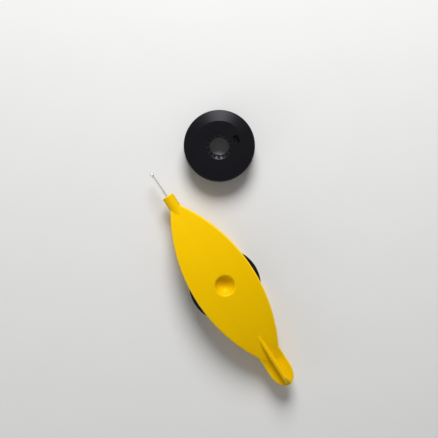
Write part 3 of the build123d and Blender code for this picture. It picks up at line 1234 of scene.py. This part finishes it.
@dataclass
class CrochetHook:
    """The plated wire: a crimped shank, a tapered throat and a notched, rounded head.

    Sizes are in millimetres about the bobbin's axis and the shuttle's middle plane. The neck, from
    the throat to the head, is given by places ahead of the throat's end and the radius at each.
    """

    place: Point = SHUTTLE_MIDDLE
    aside: float = 0.5
    start: float = 28.3
    tip: float = 45.0
    wire_radius: float = 0.48
    head_radius: float = 0.58
    head_length: float = 1.3
    throat_radius: float = 0.36
    throat_length: float = 0.5
    neck: tuple[FlatPoint, ...] = ((-0.05, 0.36), (0.12, 0.39), (0.32, 0.49), (0.48, 0.56))
    start_chamfer: float = 0.06
    taper_length: float = 6.4
    notch_depth: float = 0.36
    notch_width: float = 0.5
    notch_round: float = 0.14
    notch_tilt: float = 35.0
    notch_turn: float = 40.0
    crimp_middle: float = 30.3
    crimp_size: Point = (1.6, 1.5, 0.5)
    crimp_round: float = 0.1
    finish: PlatedSteel = field(default_factory=PlatedSteel)

    def wire(self) -> Piece:
        """Spins the wire's outline about its own axis."""
        throat_end = self.tip - self.head_length
        throat_start = throat_end - self.throat_length
        taper_start = throat_start - self.taper_length
        head_middle = self.tip - self.head_length / 2
        taper = [
            (
                taper_start + self.taper_length * step / 12,
                self.wire_radius
                + (self.throat_radius - self.wire_radius) * (1 - cos(pi * step / 12)) / 2,
            )
            for step in range(13)
        ]
        head = [
            (
                head_middle + self.head_length / 2 * sin(pi / 2 * step / 12),
                self.head_radius * cos(pi / 2 * step / 12),
            )
            for step in range(13)
        ]
        line = [
            (self.start, 0.0),
            (self.start, self.wire_radius - self.start_chamfer),
            (self.start + self.start_chamfer, self.wire_radius),
            *taper,
            *((throat_end + ahead, radius) for ahead, radius in self.neck),
            *head[:-1],
            (self.tip, 0.0),
        ]
        return turned("hook_wire", line, (1, 0, 0), 56)

    def notch(self) -> Piece:
        """The slanted cutter for the notch, with its floor rounded."""
        reach = 2 * self.head_radius
        cutter = box("notch", (self.notch_width, reach + OVERRUN, reach))
        with editing(cutter, Kind.EDGES):
            pick(
                cutter,
                Kind.EDGES,
                lambda edge: all(end.co.z < 0 for end in edge.verts)
                and abs(edge.verts[0].co.x - edge.verts[1].co.x) < TINY,
            )
            soften(self.notch_round, 4)
        only(cutter)
        cutter.rotation_euler = (0, radians(self.notch_tilt), 0)
        cutter.location = (
            self.tip - self.head_length,
            0,
            self.throat_radius - self.notch_depth + self.head_radius,
        )
        bpy.ops.object.transform_apply(location=True, rotation=True, scale=True)
        cutter.rotation_euler = (radians(self.notch_turn), 0, 0)
        bpy.ops.object.transform_apply(location=True, rotation=True, scale=True)
        return cutter

    def build(self) -> None:
        """Models the hook, places it and dresses it."""
        hook = self.wire()
        combine(hook, self.notch(), Cut.REMOVE)
        crimp = box("crimp", self.crimp_size, (self.crimp_middle, 0, 0))
        with editing(crimp, Kind.EDGES):
            soften(self.crimp_round, 2)
        combine(hook, crimp, Cut.ADD)
        shift(hook, (0, self.aside, 0))
        hook.name = "crochet_hook"
        hook.data.name = "crochet_hook"
        mark_rounded_edges(hook, least_turn=12.0, largest_face=0.02)
        settle(hook, 0.0, self.place)
        smooth(hook, crease=40.0)
        dress(hook, self.finish.made(), "shuttle", "hook")


# Bobbins


class Station(Enum):
    """Where a bobbin lies: its body's name, its middle in metres and its window's angle."""

    FITTED = ("bobbin", SHUTTLE_MIDDLE, 35.0)
    SPARE = ("spare_bobbin", SPARE_MIDDLE, -103.0)


@dataclass
class ThreadBobbin:
    """A bobbin of two moulded halves, modelled once and placed in the shuttle and beside it.

    Sizes are in millimetres about the bobbin's own middle. Its thread window points along +X.
    """

    radius: float = 12.0
    bore_radius: float = 3.2
    hub_radius: float = 5.1
    hub_round: float = 0.3
    winding_half: float = 2.3
    half_height: float = 3.8
    rim_thickness: float = 0.6
    face_radius: float = 8.25
    face_round: float = 0.12
    rim_round: float = 0.27
    spigot_inner: float = 3.85
    spigot_outer: float = 4.45
    spigot_length: float = 0.8
    spigot_round: float = 0.08
    joint_gap: float = 0.03
    recess_depth: float = 0.5
    recess_floor: float = 3.75
    recess_mouth: float = 4.75
    recess_round: float = 0.07
    tooth_count: int = 15
    tooth_inner_width: float = 0.8
    tooth_outer_width: float = 0.95
    tooth_below_face: float = 0.08
    tooth_start: float = 3.4
    tooth_round: float = 0.06
    tooth_turn: float = 8.3
    window_start: float = 5.25
    window_depth: float = 1.65
    window_length: float = 2.7
    window_round: float = 0.35
    channel_width: float = 2.3
    channel_depth: float = 0.4
    chamfer: float = 0.07
    steps: int = 144

    def flange(self, side: Side) -> Piece:
        """Spins the section of one half, with a spigot on the upper one and a socket in the lower.

        Args:
            side: Which half's joint the hub's end has.

        Returns:
            The flange with its half hub, above the middle.
        """
        if side is Side.UPPER:
            low = -self.spigot_length
            joint = [
                (self.spigot_outer, 0.0, 0.0),
                (self.spigot_outer, low, self.spigot_round),
                (self.spigot_inner, low, self.spigot_round),
                (self.spigot_inner, 0.0, 0.0),
            ]
        else:
            high = self.spigot_length + self.joint_gap
            joint = [
                (self.spigot_outer + self.joint_gap, 0.0, 0.0),
                (self.spigot_outer + self.joint_gap, high, 0.0),
                (self.spigot_inner - self.joint_gap, high, 0.0),
                (self.spigot_inner - self.joint_gap, 0.0, 0.0),
            ]
        floor = self.half_height - self.recess_depth
        corners = [
            (self.bore_radius, 0.0, 0.0),
            (self.bore_radius, floor, self.recess_round),
            (self.recess_floor, floor, self.recess_round),
            (self.recess_mouth, self.half_height, self.recess_round),
            (self.face_radius, self.half_height, self.face_round),
            (self.radius, self.winding_half + self.rim_thickness, self.rim_round),
            (self.radius, self.winding_half, self.rim_round),
            (self.hub_radius, self.winding_half, self.hub_round),
            (self.hub_radius, 0.0, 0.0),
            *joint,
        ]
        return turned("flange", rounded(corners, 4), (0, 0, 1), self.steps, Line.RING)

    def teeth(self) -> Piece:
        """The ring of teeth: one is shaped, and the rest are copies of it."""
        top = self.half_height - self.tooth_below_face
        plan = [
            (self.tooth_start, -self.tooth_inner_width / 2),
            (self.recess_mouth, -self.tooth_outer_width / 2),
            (self.recess_mouth, self.tooth_outer_width / 2),
            (self.tooth_start, self.tooth_inner_width / 2),
        ]
        tooth = drawn("tooth", [(reach, aside, top - self.recess_depth) for reach, aside in plan], Line.FACE)
        thicken(tooth, (0, 0, self.recess_depth))
        with editing(tooth, Kind.EDGES):
            pick(tooth, Kind.EDGES, lambda edge: all(end.co.z > top - TINY for end in edge.verts))
            soften(self.tooth_round, 2)
        ring = [tooth]
        for place in range(1, self.tooth_count):
            ring.append(copied(tooth, "tooth"))
            ring[-1].rotation_euler = (0, 0, 2 * pi * place / self.tooth_count)
        clear_selection()
        for part in ring:
            part.select_set(True)
        bpy.context.view_layer.objects.active = tooth
        bpy.ops.object.transform_apply(location=True, rotation=True, scale=True)
        bpy.ops.object.join()
        tooth.rotation_euler = (0, 0, radians(self.tooth_turn))
        bpy.ops.object.transform_apply(location=True, rotation=True, scale=True)
        return tooth

    def flared(self, name: str, outline: Sequence[FlatPoint], low: float) -> Piece:
        """A cutter through the flange's face that widens there, so that it leaves a small chamfer.

        Args:
            name: The cutter's name.
            outline: Its outline.
            low: Height of its lower end.

        Returns:
            The cutter.
        """
        reaches = [reach for reach, _ in outline]
        middle = (min(reaches) + max(reaches)) / 2
        half_length = max(reaches) - middle
        half_width = max(aside for _, aside in outline)
        below = self.half_height - self.chamfer
        cutter = drawn(name, [(reach, aside, low) for reach, aside in outline], Line.FACE)
        grown = (1 + 2 * self.chamfer / half_length, 1 + 2 * self.chamfer / half_width, 1)
        with editing(cutter, Kind.FACES):
            bpy.ops.mesh.extrude_region_move(TRANSFORM_OT_translate={"value": (0, 0, below - low)})
            bpy.ops.mesh.extrude_region_move(TRANSFORM_OT_translate={"value": (0, 0, 2 * self.chamfer)})
            bpy.ops.transform.resize(value=grown, center_override=(middle, 0, below + 2 * self.chamfer))
            bpy.ops.mesh.extrude_region_move(TRANSFORM_OT_translate={"value": (0, 0, OVERRUN)})
            close_up()
        return cutter

    def thread_way(self) -> tuple[Piece, Piece]:
        """The thread window through the flange, and the channel that leads to it from the notches."""
        end = self.window_start + self.window_depth
        aside = self.window_length / 2
        window = rounded(
            [
                (self.window_start, -aside, self.window_round),
                (end, -aside, self.window_round),
                (end, aside, self.window_round),
                (self.window_start, aside, self.window_round),
            ],
            5,
        )
        start = (self.recess_mouth + self.recess_floor) / 2
        stop = self.window_start + self.window_depth / 2
        half = self.channel_width / 2
        channel = [(start, -half), (stop, -half), (stop, half), (start, half)]
        return (
            self.flared("window", window, self.winding_half - OVERRUN),
            self.flared("channel", channel, self.half_height - self.channel_depth),
        )

    def half(self, side: Side) -> Piece:
        """Models one half above the middle, and turns it over if it is the lower one."""
        half = self.flange(side)
        combine(half, self.teeth(), Cut.ADD)
        for cutter in self.thread_way():
            combine(half, cutter, Cut.REMOVE)
        with editing(half, Kind.FACES):
            close_up()
        if side is Side.LOWER:
            turn_over(half)
        mark_rounded_edges(half, least_turn=9.0, largest_face=0.09)
        return half

    def build(self) -> None:
        """Models both halves once, and places and dresses a pair at each station."""
        halves = {side: self.half(side) for side in Side}
        for station in Station:
            body, middle, turn = station.value
            material = BobbinPlastic(name=f"{body}_plastic", middle=middle).made()
            for side, pattern in halves.items():
                node = f"{body}_{side.name.lower()}_half"
                piece = copied(pattern, f"{node}_moulding")
                settle(piece, turn, middle)
                smooth(piece, crease=32.0)
                dress(piece, material, body, node)
        for pattern in halves.values():
            discard(pattern)


# Studio


@dataclass
class Studio:
    """A pale floor, a soft lamp from the picture's top, a weak low one, a dim surround and the camera."""

    picture_up: Point = (0.8389, -0.5443, 0.0)
    camera_place: Point = (0.01348, 0.0016, 0.360)
    lens: float = 86.4
    lamp_distance: float = 0.5
    lamp_size: float = 0.27
    lamp_height_angle: float = 40.0
    lamp_power: float = 2.69
    fill_turn: float = 123.0
    fill_height_angle: float = 18.0
    fill_power: float = 0.37
    surround: float = 0.24
    seen_colour: tuple = (0.8, 0.8, 0.795, 1)
    floor_size: float = 6.0
    floor_gap: float = 0.00002
    sensor_width: float = 36.0
    nearest_seen: float = 0.01

    def build(self) -> None:
        """Adds everything that isn't part of the set."""
        self.floor()
        self.lamp("soft_lamp", 0.0, self.lamp_height_angle, self.lamp_power)
        self.lamp("fill_lamp", self.fill_turn, self.fill_height_angle, self.fill_power)
        self.world()
        self.camera()

    def floor(self) -> None:
        """Adds the floor just under the set."""
        clear_selection()
        bpy.ops.mesh.primitive_circle_add(
            vertices=96, radius=self.floor_size / 2, fill_type="NGON", location=(0, 0, -self.floor_gap)
        )
        floor = fresh("floor")
        floor.data.materials.append(PaleFloor().made())

    def lamp(self, name: str, turn: float, height_angle: float, power: float) -> None:
        """Adds a soft lamp, aimed at the set.

        Args:
            name: The lamp's name.
            turn: Its direction, in degrees to the left of the picture's top.
            height_angle: Its angle above the floor, in degrees.
            power: Its power, in watts.
        """
        up = atan2(self.picture_up[1], self.picture_up[0]) + radians(turn)
        rise = radians(height_angle)
        towards = Vector((cos(rise) * cos(up), cos(rise) * sin(up), sin(rise)))
        bpy.ops.object.light_add(type="AREA", location=towards * self.lamp_distance)
        lamp = bpy.context.object
        lamp.name = name
        lamp.rotation_euler = towards.to_track_quat("Z", "Y").to_euler()
        lamp.data.shape = "DISK"
        lamp.data.size = self.lamp_size
        lamp.data.energy = power

    def world(self) -> None:
        """Makes the surround dim and even, and pale where it is seen, mirrored or seen through."""
        world = bpy.data.worlds.new("surround")
        bpy.context.scene.world = world
        world.use_nodes = True
        sheet = NodeSheet(world.node_tree)
        path = sheet.add("ShaderNodeLightPath")
        dim = sheet.add("ShaderNodeBackground", Color=(1, 1, 1, 1), Strength=self.surround)
        pale = sheet.add("ShaderNodeBackground", Color=self.seen_colour, Strength=1.0)
        seen = sheet.sum("MAXIMUM", path.outputs["Is Camera Ray"], path.outputs["Is Glossy Ray"])
        shown = sheet.sum("MAXIMUM", seen, path.outputs["Is Transmission Ray"])
        mixed = sheet.add("ShaderNodeMixShader", Fac=shown)
        sheet.feed(mixed, 1, dim.outputs[0])
        sheet.feed(mixed, 2, pale.outputs[0])
        result = sheet.add("ShaderNodeOutputWorld")
        sheet.feed(result, "Surface", mixed.outputs[0])

    def camera(self) -> None:
        """Adds the camera, straight above, turned as the photograph is."""
        turn = atan2(-self.picture_up[0], self.picture_up[1])
        bpy.ops.object.camera_add(location=self.camera_place, rotation=(0, 0, turn))
        camera = bpy.context.object
        camera.name = "photograph_camera"
        camera.data.lens = self.lens
        camera.data.sensor_width = self.sensor_width
        camera.data.clip_start = self.nearest_seen
        camera.data.dof.use_dof = False
        bpy.context.scene.camera = camera


def main() -> None:
    """Loads the frame and builds every piece in order."""
    logging.basicConfig(level=logging.INFO, format="%(message)s")
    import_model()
    for part in (ShuttleShell(), CrochetHook(), ThreadBobbin(), Studio()):
        part.build()
        log.info("built %s", type(part).__name__)
    bpy.context.scene.view_settings.view_transform = "Standard"
    bpy.context.view_layer.update()


if __name__ == "__main__":
    main()
